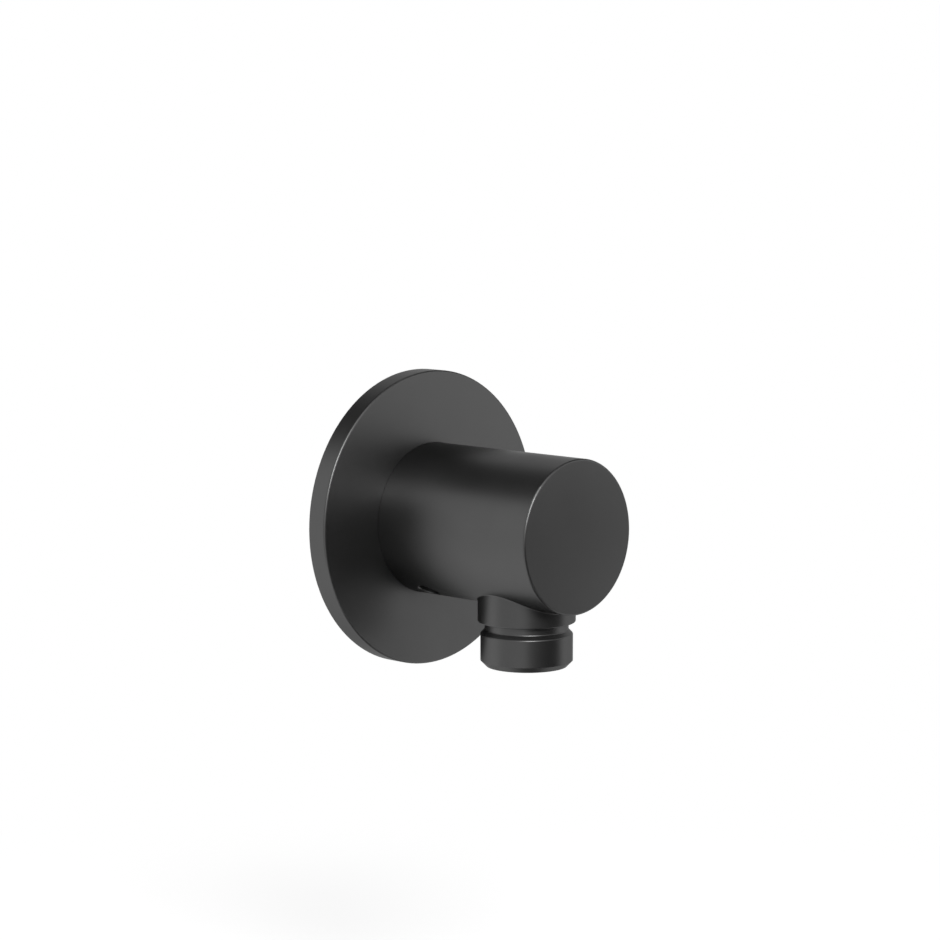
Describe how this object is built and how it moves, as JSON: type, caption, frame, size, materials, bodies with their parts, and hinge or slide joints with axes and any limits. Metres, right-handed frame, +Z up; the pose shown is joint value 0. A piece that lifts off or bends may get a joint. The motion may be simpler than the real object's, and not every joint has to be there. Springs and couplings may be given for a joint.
{
  "type": "shower hose wall outlet elbow",
  "caption": "Shower hose wall outlet: a short round elbow with a flat closed end, a thin round cover flange at the wall and a collared outlet pointing down for a hose nut.",
  "frame": {"origin": "on the elbow's axis in the plane of the wall, where the inlet thread starts", "axes": "+Y into the wall along the inlet thread, -Y out along the elbow's barrel, +Z up, the hose outlet pointing down along -Z"},
  "size_m": [0.0684, 0.0635, 0.0684],
  "materials": {
    "satin_black": "satin black coating on brass",
    "black_steel": "blackened steel",
    "turned_brass": "bare turned brass",
    "seal_rubber": "smooth black nitrile rubber",
    "gasket_rubber": "matt dark grey rubber"
  },
  "bodies": {
    "root": {"elbow_body": "satin_black", "wall_flange": "satin_black", "set_screw": "black_steel", "wall_nipple": "turned_brass", "rear_oring": "seal_rubber", "front_oring": "seal_rubber", "flange_oring": "seal_rubber", "flange_gasket": "gasket_rubber"}
  },
  "joints": []
}
